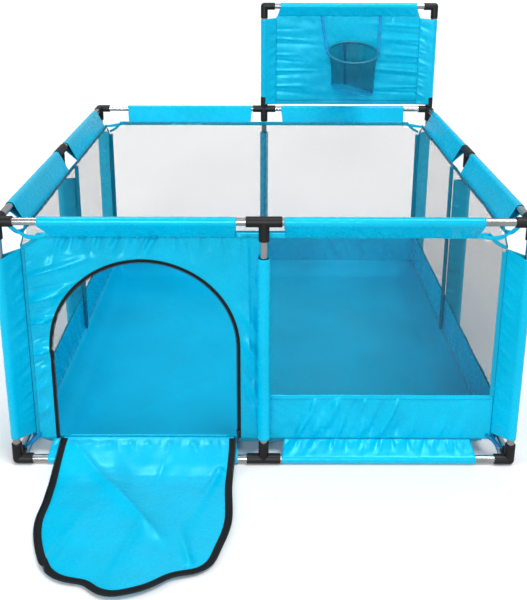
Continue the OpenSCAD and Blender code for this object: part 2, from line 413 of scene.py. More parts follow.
def cloth_sheet(name, size, place, material="cloth", body="pen", cell=None, cuts=()):
    """A sheet of a flat size. place(a, b) puts flat points, from its lower left corner, in space."""
    cell = cell or sizes().cloth_cell
    cells = cell if isinstance(cell, tuple) else (cell, cell)
    bm = bmesh.new()
    across, along = (max(2, round(s / c)) for s, c in zip(size, cells))
    bmesh.ops.create_grid(bm, x_segments=across, y_segments=along, size=0.5)
    bmesh.ops.scale(bm, vec=(size[0], size[1], 1), verts=bm.verts)
    bmesh.ops.translate(bm, vec=(size[0] / 2, size[1] / 2, 0), verts=bm.verts)
    for depth in cuts:
        cut_out(bm, depth, max(cells))
    flat = bm.loops.layers.uv.new("flat")
    for face in bm.faces:
        for loop in face.loops:
            loop[flat].uv = loop.vert.co.xy
    points = np.array([v.co for v in bm.verts])
    placed = np.stack(place(points[:, 0], points[:, 1]), axis=1)
    for v, where in zip(bm.verts, placed):
        v.co = where
    return make_piece(name, bm, material, body)


def run_along(path):
    """Turns a list of points into a function of distance along them, and gives their whole length."""
    points = np.array([tuple(p) for p in path], float)
    reach = np.concatenate([[0], np.cumsum(np.linalg.norm(np.diff(points, axis=0), axis=1))])

    def at(distance):
        return [np.interp(distance, reach, points[:, k]) for k in range(points.shape[1])]
    return at, reach[-1]


def strap(name, path, across, width, material="strap", body="pen", slot="strap_webbing", thickness=0.0011,
          fade=None):
    """A tape along a path of points in space, its width laid along the vector across."""
    at, length = run_along(path)
    side = Vector(across).normalized()

    def place(a, b):
        spread = (a - width / 2) * (1 if fade is None else np.interp(b / length, *fade))
        return [c + spread * k for c, k in zip(at(b), side)]
    piece = cloth_sheet(name, (width, length), place, material, body, cell=(width / 3, 0.006))
    return thicken(piece, thickness)


def tape_on(name, line, surface, width, lift, material, body="pen"):
    """A tape sewn along a line of flat points on a placed sheet, lifted a little off its face."""
    at, length = run_along(line)

    def place(a, b):
        x, y = at(b)
        x0, y0 = at(b - 0.002)
        x1, y1 = at(b + 0.002)
        long = np.maximum(np.hypot(x1 - x0, y1 - y0), 1e-9)
        aside = a - width / 2
        placed = surface(x - (y1 - y0) / long * aside, y + (x1 - x0) / long * aside)
        return [c + k for c, k in zip(placed, lift)]
    return thicken(cloth_sheet(name, (width, length), place, material, body, cell=(width / 4, 0.005)))


def teeth(name, line, surface, lift, pitch=0.0026, body="pen"):
    """A row of small zip teeth along a line of flat points on a placed sheet."""
    at, length = run_along(line)
    distances = np.arange(pitch, length - pitch, pitch)
    spots = np.stack(surface(*at(distances)), axis=1)
    ahead = np.stack(surface(*at(distances + 0.001)), axis=1)
    bm = bmesh.new()
    for spot, front in zip(spots, ahead):
        along = (Vector(front) - Vector(spot)).normalized()
        up = Vector(lift).normalized()
        aside = along.cross(up).normalized()
        turn = Matrix((aside, along, aside.cross(along))).transposed().to_4x4()
        size = Matrix.Diagonal((0.0042, 0.0013, 0.0015, 1))
        bmesh.ops.create_cube(bm, size=1, matrix=Matrix.Translation(Vector(spot) + Vector(lift)) @ turn @ size)
    bmesh.ops.recalc_face_normals(bm, faces=bm.faces)
    return make_piece(name, bm, "zip_teeth", body, smooth=False)


def turned(x, y, side):
    """Turns front wall measures to one of the four sides."""
    return ((x, y), (-y, x), (-x, -y), (y, -x))[side]


def wall_point(side, a, out, z):
    """The point a along a wall from its middle, out from its plane, at height z."""
    return (*turned(a, -WALL - out, side), z)


def on_side(side, a, out, z):
    return Vector(wall_point(side, a, out, z))


def module_name(side, half):
    return f"{SIDES[side]}_{'a' if half < 0 else 'b'}"


# Every wall has two modules, left and right of its middle post
MODULES = tuple((side, half) for side in range(4) for half in (-1, 1))


def smooth_path(points, step=0.008):
    """A smooth curve through a few points, with a point about every step."""
    ends = [points[0] * 2 - points[1], *points, points[-1] * 2 - points[-2]]
    path = [points[0]]
    for p0, p1, p2, p3 in zip(ends, ends[1:], ends[2:], ends[3:]):
        count = max(1, round((p2 - p1).length / step))
        for i in range(1, count + 1):
            t = i / count
            path.append(0.5 * (2 * p1 + (p2 - p0) * t + (2 * p0 - 5 * p1 + 4 * p2 - p3) * t ** 2
                               + (3 * p1 - p0 - 3 * p2 + p3) * t ** 3))
    return path


# ---- relief of loose cloth ----

def waves(a, b, size, seed, count=5):
    """A smooth random relief from -1 to 1, its bumps about size across."""
    draw = random.Random(seed)
    total = np.zeros_like(a)
    for _ in range(count):
        turn, phase = draw.uniform(0, math.pi), draw.uniform(0, math.tau)
        reach = size * draw.uniform(0.7, 1.5)
        total += np.sin((a * math.cos(turn) + b * math.sin(turn)) * math.tau / reach + phase)
    return total / count


def beside(a, b, start, end):
    """Where points lie along a line, 0 at its start and 1 at its end, and how far from it."""
    u, v = end[0] - start[0], end[1] - start[1]
    t = np.clip(((a - start[0]) * u + (b - start[1]) * v) / (u ** 2 + v ** 2), 0, 1)
    return t, np.hypot(a - start[0] - t * u, b - start[1] - t * v)


def fold(a, b, start, end, width, height):
    """A ridge that is highest near its start and dies out at its end."""
    t, gap = beside(a, b, start, end)
    return height * np.exp(-((gap / (width * (0.6 + 0.8 * t))) ** 2)) * (1 - t) ** 0.8


def crease(a, b, start, end, width, height):
    """A sharp crest from start to end, highest halfway."""
    t, gap = beside(a, b, start, end)
    return height * np.exp(-gap / width) * np.sin(math.pi * np.clip(t, 0.02, 0.98)) ** 0.5


def fold_row(a, b, first, last, reach, count, width, height, seed):
    """Folds that start on the line from first to last and run by reach into the cloth, none like another."""
    draw = random.Random(seed)
    total = np.zeros_like(a)
    for i in range(count):
        t = (i + draw.uniform(0.2, 0.8)) / count
        start = [p + (q - p) * t for p, q in zip(first, last)]
        long = draw.uniform(0.55, 1.3)
        end = [start[0] + reach[0] * long + draw.uniform(-0.01, 0.01),
               start[1] + reach[1] * long + draw.uniform(-0.01, 0.01)]
        high = height if i % 2 else -0.6 * height
        total += fold(a, b, start, end, width * draw.uniform(0.7, 1.4), high * draw.uniform(0.6, 1.3))
    return total


def relief_of(a, b, kind, rows):
    """Adds up folds, creases or rows of folds, one to each row of settings."""
    return sum(kind(a, b, *row) for row in rows)


# ---- cloth round a tube ----

def loop_round(seam, radius):
    """Cloth looped round a tube and sewn shut at a seam: its section as a function of distance along it."""
    reach = math.hypot(*seam)
    opening = math.acos(radius / reach)
    straight = radius * math.tan(opening)
    arc = radius * (math.tau - 2 * opening)
    first = math.atan2(seam[1], seam[0]) + opening

    def section(s, relief):
        angle = first + np.clip(s - straight, 0, arc) / radius
        tail = np.clip(straight - s, 0, straight) - np.clip(s - straight - arc, 0, straight)
        r = radius + relief(np.abs(tail) / straight)
        return r * np.cos(angle) + tail * np.sin(angle), r * np.sin(angle) - tail * np.cos(angle), tail
    return section, 2 * straight + arc, straight


def sleeve(name, span, at, seam, radius, place, seed, taper=(0, 0), pucker=0.0016, size=0.016):
    """Cloth round a tube: span is its start and end along the tube, at the tube, seam where it is sewn shut."""
    section, around, straight = loop_round((seam[0] - at[0], seam[1] - at[1]), radius)
    length = span[1] - span[0]

    def put(a, b):
        def relief(t):
            rows = waves(a, 0.35 * b, size, seed, 6) + 0.6 * waves(a, 0.2 * b, size * 0.5, seed + 1, 4)
            soft = waves(a, b, 0.16, seed + 2, 4)
            folds = fold_row(a, straight * t, (0.01, straight), (length - 0.01, straight), (-0.016, -straight),
                             round(length / 0.021), 0.0048, 1.3, seed + 5)
            return (pucker * (0.5 * rows + folds) * t ** 0.8 * (1 - t ** 7)
                    + 0.0013 * soft * t * (1 - t ** 5) + 0.00035 * waves(a, b, 0.03, seed + 3))
        p, q, tail = section(b, relief)
        share = np.abs(tail) / straight
        start = span[0] + taper[0] * share
        end = span[1] - taper[1] * share
        return place(start + (end - start) * a / length, at[0] + p, at[1] + q)
    piece = thicken(cloth_sheet(name, (length, around), put, cell=(0.0042, 0.0038)))
    area = min(length * around, length * around - sum(taper) * straight)
    return piece, (length, around), area


# ---- the frame ----

def finish_frame():
    """Gives the tubes, connectors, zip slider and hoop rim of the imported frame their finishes."""
    kinds = {
        "steel": ("top_rail", "bottom_rail", "corner_post", "middle_post", "board_post", "board_top_tube"),
        "plastic": ("top_corner", "bottom_corner", "top_tee", "bottom_tee", "board_elbow"),
        "lacquer": ("zip_slider", "zip_pull"),
        "rim": ("hoop_ring",),
    }
    for name, node in frame["nodes"].items():
        for kind, starts in kinds.items():
            if name.startswith(starts):
                node.data.materials.clear()
                node.data.materials.append(finish(kind))


# ---- floor mat ----

def build_mat():
    """The mat: flat inside, its edges rising to the low seam of the walls."""
    high = EDGE - 0.0006
    run = 0.064
    low = high - run
    rise = MAT_EDGE_Z + 0.020
    slant = math.hypot(run, rise)
    half = low + slant

    def place(a, b):
        x, y = (np.sign(c) * np.where(np.abs(c) < low, np.abs(c), low + (np.abs(c) - low) * run / slant)
                for c in (a - half, b - half))
        t = np.clip((np.maximum(np.abs(x), np.abs(y)) - low) / run, 0, 1)
        slack = 0.0012 * waves(a, b, 0.19, 3) + 0.0006 * waves(a, b, 0.05, 4)
        folds = relief_of(a, b, fold, (
            ((0.25, 0.2), (0.72, 0.62), 0.010, 0.0032),
            ((0.9, 0.3), (0.6, 0.75), 0.009, 0.002),
            ((0.35, 0.9), (0.62, 0.55), 0.009, 0.0018)))
        z = 0.0022 + np.abs(slack) + folds + rise * t ** 2.3 + 0.004 * waves(a, b, 0.07, 9) * t * (1 - t)
        return x, y, z
    size = (2 * half, 2 * half)
    piece = thicken(cloth_sheet("floor_mat_cloth", size, place, "mat", cell=0.011), 0.0016)
    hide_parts("floor_mat")


# ---- walls ----


def corner_chord(width, height, half):
    """The slanted cut at a wall's top corner: its start, the way to its end, and which way is out."""
    cut = sizes().corner_cut
    run, drop = half * cut, 0.8 * cut
    long = math.hypot(run, drop)
    return (cut if half < 0 else width - cut, height), (run, -drop), (half * drop / long, half * run / long)


def hollow(t):
    """How far the cut is drawn in, along its length from 0 to 1."""
    return 0.005 * math.sin(math.pi * t)


def corner_depth(width, height, half):
    """Depth beyond the slanted cut."""
    start, chord, out = corner_chord(width, height, half)

    def depth(a, b):
        x, y = a - start[0], b - start[1]
        t = min(max((x * chord[0] + y * chord[1]) / (chord[0] ** 2 + chord[1] ** 2), 0), 1)
        return x * out[0] + y * out[1] + hollow(t)
    return depth


def corner_line(width, height, half):
    """Flat points along the slanted cut."""
    corner = zip(*corner_chord(width, height, half))
    rows = [[c + way * t - side * hollow(t) for t in np.linspace(0.02, 0.98, 14)] for c, way, side in corner]
    return list(zip(*rows))


def arch_depth(a, b):
    """Depth inside the door opening, on the door panel's own flat measures."""
    x, z = a - EDGE - DOOR_X, b + LOW_SEAM_Z
    if z > ARCH_Z:
        return DOOR_R - math.hypot(x, z - ARCH_Z)
    return min(DOOR_R - abs(x), 1.0)


def door_relief(a, b):
    """Folds of the door panel: puckers under the top seam and folds that run from the posts to the arch."""
    seam = TOP_EDGE_Z - LOW_SEAM_Z - 0.012
    total = 0.0030 * waves(a, b, 0.19, 21) + 0.0010 * waves(a, b, 0.06, 22)
    total += relief_of(a, b, fold_row, (
        ((0.075, seam), (0.34, seam), (-0.028, -0.066), 12, 0.0085, 0.0120, 23),
        ((0.34, seam), (0.56, seam), (0.006, -0.050), 9, 0.0070, 0.0060, 24),
        ((0.006, 0.20), (0.006, 0.51), (0.19, 0.055), 9, 0.0095, 0.0140, 25),
        ((0.004, 0.02), (0.004, 0.20), (0.07, 0.050), 6, 0.0085, 0.0080, 26),
        ((0.583, 0.04), (0.583, 0.42), (-0.070, 0.095), 8, 0.0080, 0.0085, 27)))
    total += relief_of(a, b, crease, (
        ((0.545, 0.56), (0.552, 0.20), 0.004, 0.005),
        ((0.565, 0.02), (0.560, 0.40), 0.004, 0.005),
        ((0.02, 0.40), (0.20, 0.465), 0.004, 0.006)))
    return total + 0.010 * np.exp(-((a - 0.06) / 0.07) ** 2 - ((b - 0.42) / 0.09) ** 2)


def door_place(a, b):
    """Puts flat points of the door panel in space: calm next to its side seams and along the zip."""
    x, z = a - EDGE, b + LOW_SEAM_Z
    over = np.maximum(z - ARCH_Z, 0)
    from_zip = np.abs(np.hypot(x - DOOR_X, over) - DOOR_R)
    near_side = np.clip(np.minimum(a, EDGE - a) / 0.036, 0.0, 1)
    free = 0.06 + 0.94 * near_side ** 2 * (3 - 2 * near_side)
    taut = np.clip(from_zip / 0.025, np.where((x > DOOR_X) & (z < ARCH_Z + 0.02), 0.0, 0.35), 1)
    return x, -WALL - door_relief(a, b) * free * taut, z


def arch_line(r):
    """Flat points of an arch of radius r round the door opening, from its left foot to its right foot."""
    x0, z0 = EDGE + DOOR_X, ARCH_Z - LOW_SEAM_Z
    foot = SILL_Z - LOW_SEAM_Z
    over = [(x0 - r * math.cos(t), z0 + r * math.sin(t)) for t in np.linspace(0, math.pi, 60)]
    return [(x0 - r, foot), *over, (x0 + r, foot)]


def build_door_panel():
    """The solid front panel with the arched door opening."""
    width, height = size = (EDGE, TOP_EDGE_Z - LOW_SEAM_Z)
    cut = sizes().corner_cut
    piece = thicken(cloth_sheet("door_panel_cloth", size, door_place, cell=0.0033,
                                cuts=(arch_depth, corner_depth(*size, -1))))
    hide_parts("front_door_panel")
    seam = SEAM_Z - LOW_SEAM_Z
    tapes = (
        ("binding", corner_line(*size, -1), sizes().binding),
        # The top seam's narrow darker tape is painted shade: it darkens the groove where the sleeve meets the
        # panel.
        ("top_seam_painted_shade", [(cut, seam), (EDGE, seam)], 0.004),
        ("side_seam", [(0.004, 0), (0.004, height - 0.8 * cut - 0.004)], 0.008))
    for name, line, wide in tapes:
        tape_on(f"door_panel_{name}", line, door_place, wide, (0, -TAPE_LIFT, 0), "binding")


def build_wall_module(side, half):
    """One module of a net wall: its net window over its solid band, with binding, hems and seam."""
    tag = module_name(side, half)
    seed = 40 + side * 10 + half
    start = -EDGE if half < 0 else 0.0
    cut = sizes().corner_cut
    band = sizes().band_top
    width, height = net_size = (EDGE, TOP_EDGE_Z - band)
    band_size = (EDGE, band - LOW_SEAM_Z)

    def net_place(a, b):
        slack = 0.0022 * waves(a, b, 0.22, seed) + 0.0007 * waves(a, b, 0.05, seed + 5)
        slack += fold_row(a, b, (0.05, height), (EDGE - 0.05, height), (0.004, -0.05), 9, 0.006, 0.002, seed)
        return wall_point(side, start + a, slack * np.clip(np.minimum(a, EDGE - a) / 0.02, 0, 1), b + band)

    def band_place(a, b):
        high = band_size[1]
        rows = relief_of(a, b, fold_row, (
            ((0.03, -0.01), (0.34, -0.01), (0.045, high), 11, 0.0090, 0.0130, seed + 7),
            ((0.34, 0.0), (0.56, 0.0), (0.02, high * 0.7), 7, 0.008, 0.0050, seed + 8),
            ((0.07, high), (0.36, high), (-0.045, -high), 8, 0.010, 0.0105, seed + 11)))
        soft = 0.0016 * waves(a, b, 0.11, seed + 9) + 0.0006 * waves(a, b, 0.03, seed + 4)
        near_seam = np.clip(np.minimum(b / 0.028, (high - b) / 0.016), 0.06, 1)
        calm = 1.0 if side == 0 else 0.4
        return wall_point(side, start + a, (rows + soft) * near_seam * calm, b + LOW_SEAM_Z)
    net = thicken(cloth_sheet(f"net_window_{tag}", net_size, net_place, "net", cell=0.011,
                              cuts=(corner_depth(*net_size, half),)), 0.00025)
    solid = thicken(cloth_sheet(f"solid_band_{tag}", band_size, band_place))
    if side == 0:
        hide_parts("front_mesh_panel")
    elif half < 0:
        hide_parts(f"{SIDES[side]}_wall")
    hem_z = height - 0.0065
    post = 0.005 if half < 0 else EDGE - 0.005
    first, last = (cut, EDGE) if half < 0 else (0.0, EDGE - cut)
    tapes = (
        ("net_binding", corner_line(*net_size, half), sizes().binding, "binding"),
        ("top_hem", [(first, hem_z), (last, hem_z)], 0.014, "cloth"),
        ("band_seam", [(0, 0.0), (EDGE, 0.0)], 0.013, "cloth"),
        ("side_hem", [(post, 0), (post, height - cut)], 0.013, "binding"))
    for name, line, wide, kind in tapes:
        tape_on(f"{name}_{tag}", line, net_place, wide, (*turned(0, -TAPE_LIFT, side), 0), kind)


def build_net_walls():
    """Seven modules of net over solid cloth, with seam allowances standing inwards between them."""
    for side, half in MODULES[1:]:
        build_wall_module(side, half)
    for side in (1, 2, 3):
        path = [on_side(side, 0.0, -0.0070, z) for z in (LOW_SEAM_Z + 0.009, TOP_EDGE_Z - 0.004)]
        strap(f"middle_seam_{SIDES[side]}", path, (*turned(0, 1, side), 0), 0.012, "seam",
              slot="blue_cloth", fade=([0, 0.02, 1], [0.5, 1, 1]))


def build_rail_sleeves():
    """Sleeves round the top and bottom rails of all eight modules."""
    tube = -WALL + HALF
    for side, half in MODULES:
        tag = module_name(side, half)
        seed = 200 + side * 20 + half
        near = SLEEVE_NEAR + (SLEEVE_SHIFT if half < 0 else -SLEEVE_SHIFT)
        far = SLEEVE_FAR + (SLEEVE_SHIFT * 0.5 if half < 0 else -SLEEVE_SHIFT)
        span = (-far, -near) if half < 0 else (near, far)
        taper = (0.022, 0.004) if (side, half) == (0, -1) else (0.005, 0.006)

        def place(a, out, z, side=side):
            return wall_point(side, a, out, z)
        top, flat, area = sleeve(f"top_sleeve_{tag}", span, (tube, RAIL_Z), (0.0012, SEAM_Z), LOOP_R, place,
                                 seed, taper, 0.0050 if side == 0 else 0.0007, 0.030)
        # At the front the cloth reaches closer to the corner connectors
        if side == 0:
            span = (span[0] - 0.018, span[1]) if half < 0 else (span[0], span[1] + 0.023)
        low, flat, area = sleeve(f"bottom_sleeve_{tag}", span, (tube, LOW_Z), (0.0014, LOW_SEAM_Z), LOOP_R,
                                 place, seed + 7, (0.006, 0.006), 0.0048, 0.034)


def build_post_sleeves():
    """Sleeves round the four corner posts and the four middle posts."""
    span = (POST_SLEEVE_LOW, POST_SLEEVE_HIGH)
    inner = -EDGE - 0.0005
    for side in range(4):
        def stand(z, x, y, side=side):
            return (*turned(x, y, side), z)
        kinds = (
            ("corner", CORNERS[side], (-HALF, -HALF), (inner, inner), 0.0006, 400, (-0.012, -0.008),
             0.0034, 0.07),
            ("middle", SIDES[side], (0.0, -HALF), (-0.006, -WALL - 0.0008), 0.0035, 420, (-0.004, -0.004),
             0.0028, 0.05))
        for part, where, at, seam, loose, seed, taper, pucker, size in kinds:
            piece, flat, _ = sleeve(f"{part}_sleeve_{where}", span, at, seam, LOOP_R + loose, stand,
                                    seed + side, taper, pucker, size)


def build_ties():
    """Tie straps from the corners of the cloth to the connectors, top and bottom."""
    width = sizes().strap
    for side in range(4):
        for half, wall in ((-1, side), (1, (side - 1) % 4)):
            tag = module_name(wall, half)
            start = EDGE - sizes().corner_cut + 0.004
            path = [on_side(wall, half * (start - 0.02), 0.0016, TOP_EDGE_Z - 0.009),
                    on_side(wall, half * start, 0.004, TOP_EDGE_Z - 0.011)]
            # At the front the straps are tied to the rails, at the back to the posts
            if side < 2:
                path += [on_side(wall, half * (start + 0.028), 0.014, TOP_EDGE_Z - 0.004),
                         on_side(wall, half * (HALF - 0.030), 0.031, RAIL_Z - 0.013)]
            else:
                path += [on_side(wall, half * (start + 0.04), 0.012, TOP_EDGE_Z - 0.019),
                         on_side(wall, half * (HALF - 0.0125), HALF - WALL - 0.009, RAIL_Z - 0.068)]
            strap(f"top_tie_{tag}", smooth_path(path), (0, 0, 1), width, "cloth",
                  fade=([0, 0.4, 1], [0.7, 1.2, 0.7]))
            path = [on_side(wall, half * (EDGE - 0.012), 0.002, LOW_SEAM_Z + 0.012),
                    on_side(wall, half * (EDGE + 0.008), 0.012, LOW_SEAM_Z - 0.002),
                    on_side(wall, half * (HALF - 0.026), 0.030, LOW_Z + 0.0135)]
            strap(f"bottom_tie_{tag}", smooth_path(path), (0, 0, 1), width)


# ---- door flap ----

def flap_radius(turn):
    """Radius of the flap's round end at an angle from its left side."""
    return FLAP_R + sum(more * math.exp(-((turn - at) / spread) ** 2) for at, more, spread in FLAP_WAVES)


def flap_side(b, left):
    """Half width of the flap's straight part at a distance b from the sill."""
    return FLAP_R + 0.005 * math.sin(b * 14 + (0.6 if left else 2.4)) * math.sin(min(1, b / 0.26) * math.pi)


def flap_depth(a, b):
    """Depth outside the flap's outline."""
    x = a - FLAP_R - FLAP_MARGIN
    if b <= FLAP_ARCH:
        return abs(x) - flap_side(b, x < 0)
    return math.hypot(x, b - FLAP_ARCH) - flap_radius(math.atan2(b - FLAP_ARCH, -x))


def flap_relief(a, b):
    """Waves and creases of the flap as it lies open on the ground."""
    x = a - FLAP_R - FLAP_MARGIN
    lie = np.clip((b - STRIP_LENGTH) / 0.05, 0, 1)
    edge = np.clip(np.maximum(np.abs(x) - 0.14, b - 0.40) / 0.08, 0, 1)
    total = 0.0025 + 0.0035 * lie * (1 + waves(a, b, 0.26, 61))
    total += 0.0022 * edge * lie * (1 + waves(a, b, 0.13, 62))
    total += 0.0012 * waves(a, b, 0.06, 63) * lie + 0.0008 * (1 + waves(a, b, 0.05, 64)) * (1 - lie)
    total += relief_of(a, b, crease, (
        ((0.038, 0.006), (0.315, 0.335), 0.014, 0.0125),
        ((0.26, 0.27), (0.22, 0.43), 0.014, 0.007),
        ((0.30, 0.03), (0.27, 0.18), 0.012, 0.005)))
    total += relief_of(a, b, fold, (
        ((0.43, 0.10), (0.36, 0.30), 0.013, 0.008),
        ((0.07, 0.42), (0.13, 0.22), 0.014, 0.007),
        ((0.38, 0.40), (0.33, 0.24), 0.012, 0.006)))
    total += 0.007 * np.exp(-((a - 0.13 - 0.35 * b) / 0.035) ** 2) * np.exp(-((b - 0.14) / 0.09) ** 2)
    return total + fold_row(a, b, (0.05, 0.006), (0.44, 0.006), (0.004, 0.035), 15, 0.0055, 0.0045, 65)


def flap_place(a, b):
    """Puts flat points of the flap in space: down over the bottom rail, then out along the ground."""
    t = np.clip(b / STRIP_LENGTH, 0, 1)
    y = HINGE.y + (FOLD.y - HINGE.y) * t - np.clip(b - STRIP_LENGTH, 0, 1)
    z = HINGE.z + (FOLD.z - HINGE.z) * t
    ease = 0.004 * np.exp(-((b - STRIP_LENGTH) / 0.02) ** 2)
    lift = flap_relief(a, b) * np.clip((b - 0.007) / 0.02, 0, 1)
    return DOOR_X + a - FLAP_R - FLAP_MARGIN, y, z + ease + lift


def flap_line(inset):
    """Flat points round the flap's free edge, a distance inside it."""
    x0 = FLAP_R + FLAP_MARGIN
    rise = np.linspace(TAPE_START, FLAP_ARCH, 25)
    line = [(x0 - flap_side(b, True) + inset, b) for b in rise[:-1]]
    for t in np.linspace(0, math.pi, 90):
        r = flap_radius(t) - inset
        line.append((x0 - r * math.cos(t), FLAP_ARCH + r * math.sin(t)))
    return line + [(x0 + flap_side(b, False) - inset, b) for b in rise[-2::-1]]


def build_flap():
    """The door flap, its zip tape and its teeth, one cloth that bends where it meets the ground."""
    size = (2 * (FLAP_R + FLAP_MARGIN), FLAP_LENGTH + FLAP_MARGIN)
    cloth = thicken(cloth_sheet("door_flap_cloth", size, flap_place, body=None, cell=0.0042,
                                cuts=(flap_depth,)))
    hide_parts("door_flap_strip", "door_flap")
    tape = tape_on("flap_zip_tape", flap_line(0.004), flap_place, 0.016, (0, 0, 0.0014), "zip_tape",
                   None)
    row = teeth("flap_zip_teeth", flap_line(-0.004), flap_place, (0, 0, 0.0026), body=None)
    for piece in (cloth, tape, row):
        settle(piece)
        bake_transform(piece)
    reach = FLAP_R - 0.015
    sill = [Vector((DOOR_X + x, HINGE.y + 0.0015, HINGE.z + 0.0016)) for x in (-reach, reach)]
    strap("door_sill_hem", sill, (0, 0, 1), 0.0068, "cloth", slot="blue_cloth", thickness=0.0006)


def build_zip():
    """Zip tape and teeth round the door opening."""
    tape = tape_on("door_zip_tape", arch_line(DOOR_R + 0.0028), door_place, 0.0075, (0, -0.0014, 0), "zip_tape")
    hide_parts("door_zip")
    teeth("door_zip_teeth", arch_line(DOOR_R - 0.0018), door_place, (0, -0.0016, 0))


# ---- hoop board ----

def board_place(a, b):
    """Puts flat points of the board in space: calm behind the hoop, and drawn back at the hoop's tab."""
    x, z = BOARD_IN + a, BOARD_LOW + b
    width, height = BOARD_OUT - BOARD_IN, BOARD_TOP - BOARD_LOW
    relief = 0.0018 * waves(a, 2.2 * b, 0.22, 81) + 0.0006 * waves(a, b, 0.04, 82)
    relief += 0.0016 * waves(0.12 * a, b, 0.035, 85) * (0.4 + a / width)
    relief += relief_of(a, b, fold_row, (
        ((width, 0.03), (width, 0.31), (-0.19, 0.01), 10, 0.0055, 0.0062, 83),
        ((0.0, 0.03), (0.0, 0.30), (0.15, -0.005), 9, 0.0055, 0.0042, 84),
        ((0.06, height), (0.45, height), (0.01, -0.03), 9, 0.007, 0.0035, 86)))
    relief += crease(a, b, (0.165, height - 0.004), (0.235, 0.24), 0.006, 0.006)
    relief = 0.0042 * np.tanh(relief / 0.0042)
    behind_hoop = np.exp(-((x - HOOP.x) / 0.125) ** 4 - ((z - HOOP.z - 0.085) / 0.13) ** 4)
    tab = np.exp(-((x - HOOP.x) / 0.045) ** 2 - ((z - HOOP.z) / 0.035) ** 2)
    relief = relief * (1 - 0.75 * behind_hoop) * (1 - tab) - 0.0024 * tab
    return x, BOARD_Y - relief, z


def build_board():
    """The board over the back rail: its panel, its sleeves round the posts and the top tube, its hem."""
    size = (BOARD_OUT - BOARD_IN, BOARD_TOP - BOARD_LOW)
    board = thicken(cloth_sheet("hoop_board_cloth", size, board_place))
    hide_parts("hoop_board")
    for name, x, seam_x, seed in (("inner", 0.0, BOARD_IN, 90), ("outer", HALF, BOARD_OUT, 95)):
        piece, flat, area = sleeve(
            f"board_side_sleeve_{name}", (BOARD_LOW, 0.992), (x, HALF), (seam_x, HALF - 0.001), LOOP_R + 0.001,
            lambda z, x, y: (x, y, z), seed, (0, -0.006), 0.0022, 0.05)
    piece, flat, _ = sleeve(
        "board_top_sleeve", (0.060, HALF - 0.066), (HALF, BOARD_Z), (HALF - 0.001, BOARD_TOP), LOOP_R + 0.0006,
        lambda x, y, z: (x, y, z), 99, (-0.012, -0.012), 0.0018, 0.03)
    for name, z in (("low", 0.004), ("high", 0.017)):
        tape_on(f"board_hem_{name}", [(0, z), (size[0], z)], board_place, 0.006, (0, -TAPE_LIFT, 0), "binding")


# ---- hoop ----

def ring_point(turn, radius, drop=0.0):
    """A point on the tilted circle of the hoop, drop below its middle line."""
    forward = radius * np.sin(turn) - HOOP_R
    return (HOOP.x + radius * np.cos(turn), HOOP.y + forward * math.cos(HOOP_TILT),
            HOOP.z + forward * math.sin(HOOP_TILT) - drop)


def bottom_point(turn, radius):
    """A point on the net's bottom, which hangs askew."""
    x = radius * np.cos(turn)
    return HOOP.x + x, HOOP.y - 0.0865 + radius * np.sin(turn), 0.7485 - 0.21 * x


def basket_place(a, b):
    """Puts flat points of the hoop's net in space, drawn together by its gathers."""
    turn = a / NET_R + math.radians(100)
    t = b / NET_DEPTH
    draw = 0.003 * np.sin(turn * 9 + 1.0) + 0.0022 * np.sin(turn * 17)
    draw += 0.005 * np.exp(-((np.cos(turn) + 1) * 3) ** 2)
    shrink = 1 - (0.05 + draw * 9) * np.sin(math.pi * t) - 0.02 * np.sin(turn * 11) * t
    high, low = ring_point(turn, NET_R * shrink, 0.003), bottom_point(turn, NET_LOW_R * shrink)
    return [h + (l - h) * t for h, l in zip(high, low)]


def disc_place(a, b):
    """Puts flat points of the net's round bottom in space, sagging a little."""
    turn, radius = np.arctan2(b - NET_LOW_R, a - NET_LOW_R), np.hypot(a - NET_LOW_R, b - NET_LOW_R)
    x, y, z = bottom_point(turn, radius)
    return x, y, z - 0.003 * (1 - (radius / NET_LOW_R) ** 2) + 0.001 * waves(a, b, 0.04, 72)


def build_basket():
    """The hoop's net, a dark seam strip and a hem on it, a solid disc sewn to its bottom, and two straps."""
    net_size = (math.tau * NET_R, NET_DEPTH)
    net = cloth_sheet("hoop_net", net_size, basket_place, "basket_net", "hoop", 0.0045)
    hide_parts("hoop_basket")
    disc_size = (2 * NET_LOW_R, 2 * NET_LOW_R)
    base = thicken(cloth_sheet(
        "hoop_net_bottom", disc_size, disc_place, "mat", "hoop", 0.005,
        cuts=(lambda a, b: math.hypot(a - NET_LOW_R, b - NET_LOW_R) - NET_LOW_R + 0.0006,)))
    hem_b = NET_DEPTH - 0.003
    seam = tape_on("hoop_net_seam", [(0.008, 0), (0.008, NET_DEPTH)], basket_place, 0.010, (0, -0.001, 0),
                   "hoop_seam", "hoop")
    hem = tape_on("hoop_net_hem", [(0, hem_b), (net_size[0], hem_b)], basket_place, 0.007, (0, 0, 0),
                  "strap", "hoop")
    for piece in (net, base, seam, hem):
        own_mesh(piece)
    for name, x, edge in (("left", 0.213, -1), ("right", 0.428, 1)):
        end = Vector(ring_point(0 if edge > 0 else math.pi, HOOP_R + 0.0025))
        path = [Vector((x, HALF - 0.0035, 1.006)), Vector((x, HALF - 0.0125, 0.998)),
                Vector((x * 0.55 + end.x * 0.45, 0.583, 0.943)), end + Vector((0, 0, 0.004)),
                end + Vector((edge * 0.002, -0.003, -0.006))]
        piece = strap(f"hoop_strap_{name}", smooth_path(path), (1, 0.25 * edge, 0), 0.010, body=None)
        if name == "left":
            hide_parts("hoop_straps")
        settle(piece)
        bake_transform(piece)


# ---- stage ----

